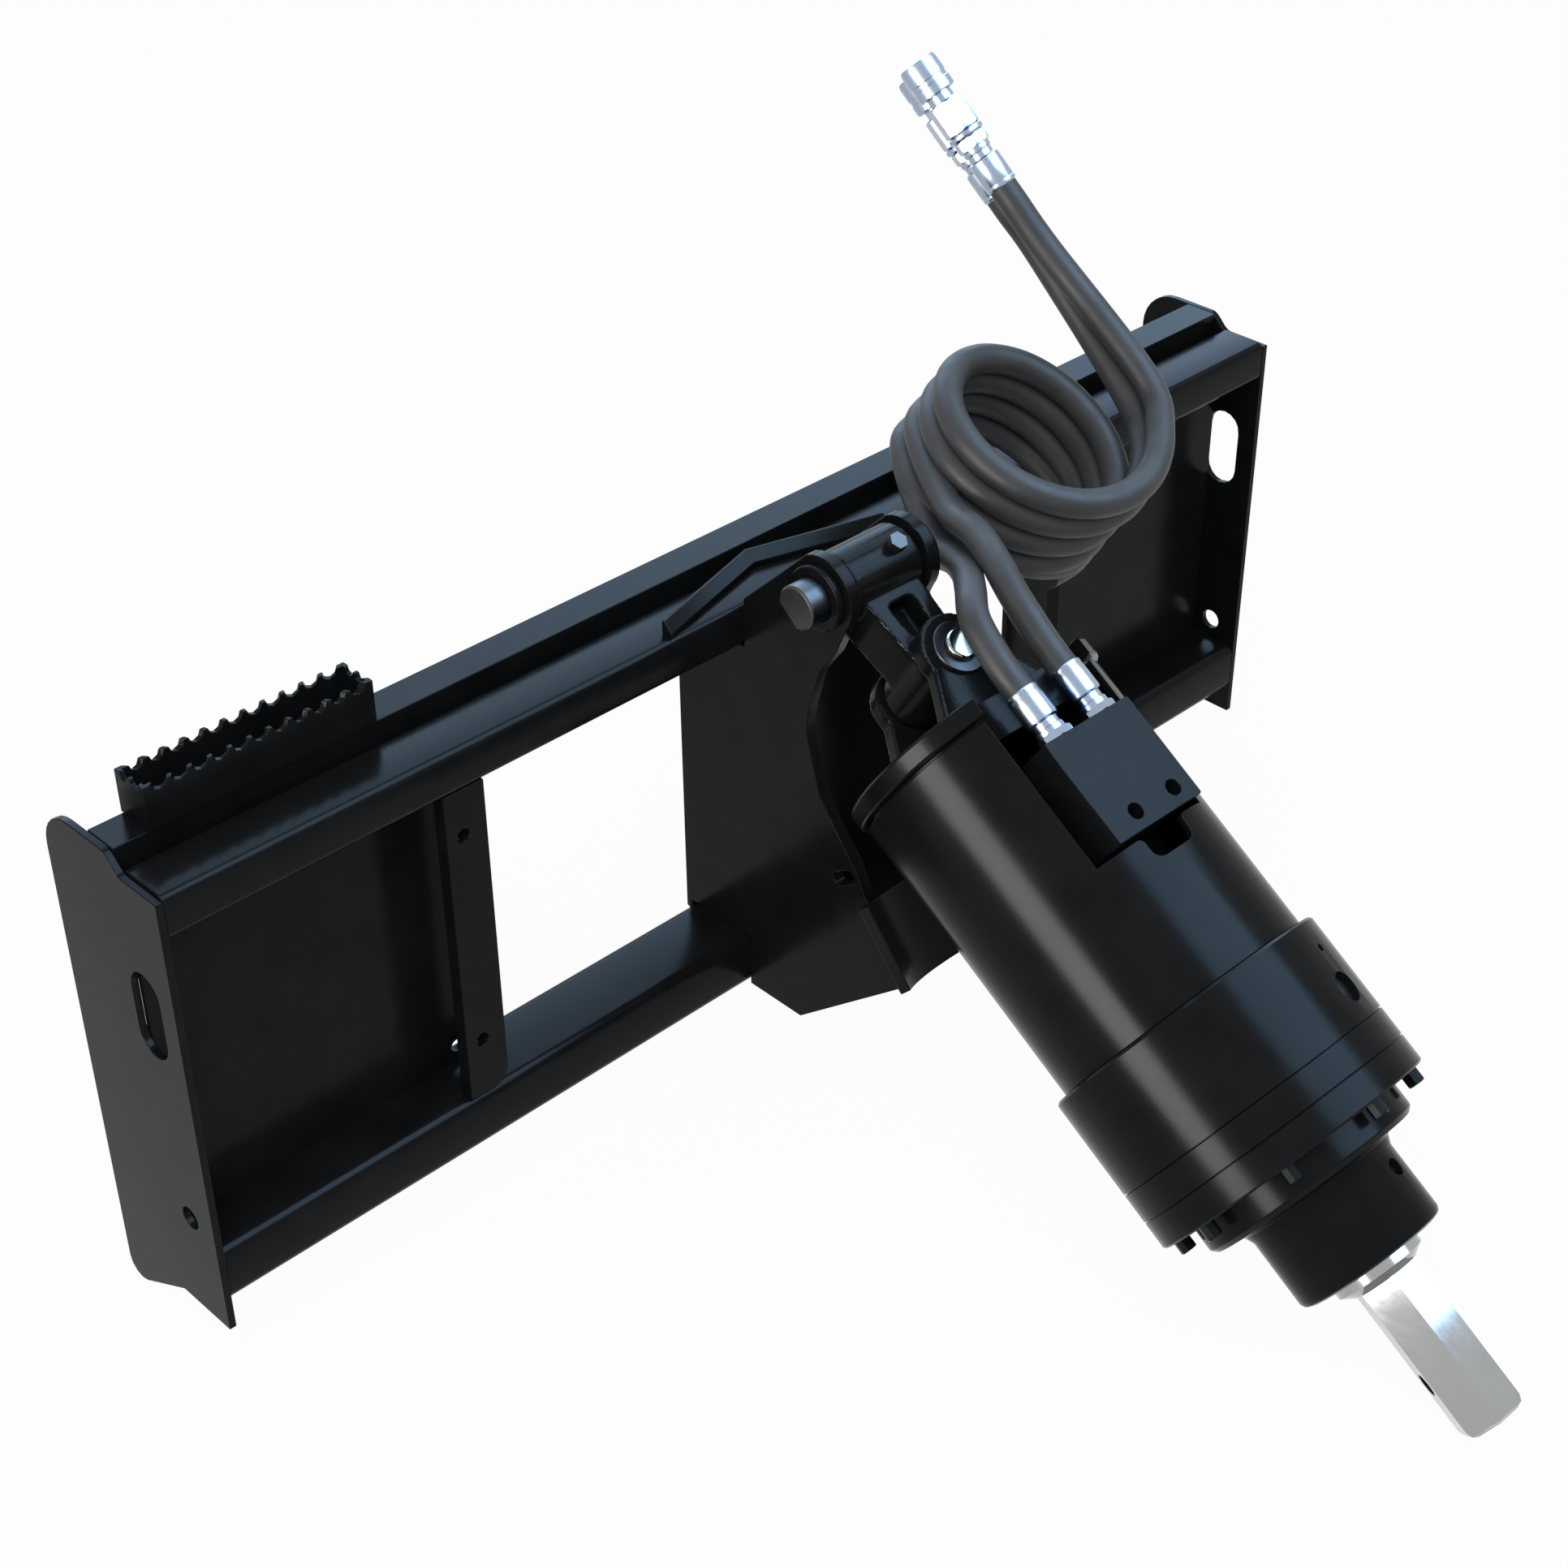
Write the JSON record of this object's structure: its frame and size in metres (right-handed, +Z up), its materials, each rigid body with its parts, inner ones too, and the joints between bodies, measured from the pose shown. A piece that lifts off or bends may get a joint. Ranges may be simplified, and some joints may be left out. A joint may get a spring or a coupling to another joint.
{
  "type": "earth auger drive",
  "caption": "Hydraulic earth auger drive hung by a pinned link from a wide quick attach frame, with hose coil, couplers and a hexagonal output shaft.",
  "frame": {"origin": "middle of the hook strip's underside, where it sits on the machine's mounting plate", "axes": "+Z up, +X along the frame to the right as seen from the front, +Y to the carrier machine"},
  "size_m": [1.15, 0.8449, 0.7337],
  "materials": {
    "black_paint": "satin black paint",
    "black_casting": "satin black paint on a casting",
    "dark_steel": "dark oiled steel",
    "ground_steel": "ground steel",
    "zinc_plate": "bright zinc plate",
    "gear_steel": "machined steel",
    "bronze": "turned bronze",
    "hose_rubber": "matt rubber"
  },
  "bodies": {
    "frame": {"end_plate_left": "black_paint", "end_plate_right": "black_paint", "upper_rail": "black_paint", "lower_rail": "black_paint", "hook_strip": "black_paint", "strap_left": "black_paint", "strap_right": "black_paint", "panel_left": "black_paint", "panel_right": "black_paint", "step_box": "black_paint", "cradle": "black_paint", "gusset_left": "black_paint", "gusset_right": "black_paint", "notch_bar": "black_paint", "upper_pin": "dark_steel", "pin_collar_left": "black_casting", "pin_collar_right": "black_casting", "hose_coil": "hose_rubber", "hose_lead_a": "hose_rubber", "hose_lead_b": "hose_rubber", "hose_tail_a": "hose_rubber", "hose_tail_b": "hose_rubber", "tail_fitting_a": "zinc_plate", "tail_fitting_b": "zinc_plate", "coupler_body_a": "zinc_plate", "coupler_body_b": "zinc_plate"},
    "sleeve_a": {"coupler_sleeve_a": "zinc_plate"},
    "sleeve_b": {"coupler_sleeve_b": "zinc_plate"},
    "link": {"link_casting": "black_casting", "link_bush_left": "bronze", "link_bush_right": "bronze", "link_bolt": "dark_steel"},
    "drive": {"lower_pin": "ground_steel", "pin_washer_front": "dark_steel", "pin_washer_rear": "dark_steel", "ear_front": "black_casting", "ear_rear": "black_casting", "top_cap": "black_casting", "hood_tube": "black_paint", "motor_body": "black_casting", "port_block": "black_paint", "block_screw_left": "dark_steel", "block_screw_right": "dark_steel", "port_fitting_a": "zinc_plate", "port_fitting_b": "zinc_plate", "gear_housing": "black_paint", "level_plug": "dark_steel", "ring_gear": "black_paint", "lower_flange": "black_paint", "bearing_housing": "black_paint", "bearing_upper": "ground_steel", "bearing_lower": "ground_steel", "lip_seal": "hose_rubber"},
    "output": {"output_shaft": "ground_steel"},
    "sun": {"rotor_sun": "gear_steel"},
    "planet_gear_1": {"planet_1": "gear_steel"},
    "planet_gear_2": {"planet_2": "gear_steel"},
    "planet_gear_3": {"planet_3": "gear_steel"}
  },
  "joints": [
    {"name": "link_swing", "type": "hinge", "parent": "frame", "child": "link", "pos_m": [-0.014, -0.15135, 0.0423], "axis": [-1, 0, 0], "range_deg": [-13, 45], "deforming": ["hose_lead_a", "hose_lead_b"]},
    {"name": "side_swing", "type": "hinge", "parent": "link", "child": "drive", "pos_m": [-0.014, -0.21879, -0.01883], "axis": [0, -0.5534, 0.8329], "range_deg": [-4, 4], "deforming": ["hose_lead_a", "hose_lead_b"]},
    {"name": "output_spin", "type": "hinge", "parent": "drive", "child": "output", "pos_m": [-0.014, -0.53321, -0.22774], "axis": [0, -0.8329, -0.5534], "continuous": true},
    {"name": "sun_spin", "type": "hinge", "parent": "drive", "child": "sun", "pos_m": [-0.014, -0.53321, -0.22774], "axis": [0, -0.8329, -0.5534], "continuous": true},
    {"name": "planet_spin_1", "type": "hinge", "parent": "output", "child": "planet_gear_1", "pos_m": [0.0385, -0.53321, -0.22774], "axis": [0, -0.8329, -0.5534], "continuous": true},
    {"name": "planet_spin_2", "type": "hinge", "parent": "output", "child": "planet_gear_2", "pos_m": [-0.04025, -0.55838, -0.18987], "axis": [0, -0.8329, -0.5534], "continuous": true},
    {"name": "planet_spin_3", "type": "hinge", "parent": "output", "child": "planet_gear_3", "pos_m": [-0.04025, -0.50805, -0.26561], "axis": [0, -0.8329, -0.5534], "continuous": true},
    {"name": "sleeve_slide_a", "type": "slide", "parent": "frame", "child": "sleeve_a", "axis": [0.1698, -0.6621, -0.73], "range_m": [0, 0.006], "stiffness_N_per_m": 400, "springref_m": -0.004},
    {"name": "sleeve_slide_b", "type": "slide", "parent": "frame", "child": "sleeve_b", "axis": [0.1698, -0.6621, -0.73], "range_m": [0, 0.006], "stiffness_N_per_m": 400, "springref_m": -0.004}
  ],
  "couplings": [
    {"joint": "sun_spin", "follows": "output_spin", "ratio": 4.6667},
    {"joint": "planet_spin_1", "follows": "output_spin", "ratio": -2.75},
    {"joint": "planet_spin_2", "follows": "output_spin", "ratio": -2.75},
    {"joint": "planet_spin_3", "follows": "output_spin", "ratio": -2.75}
  ]
}
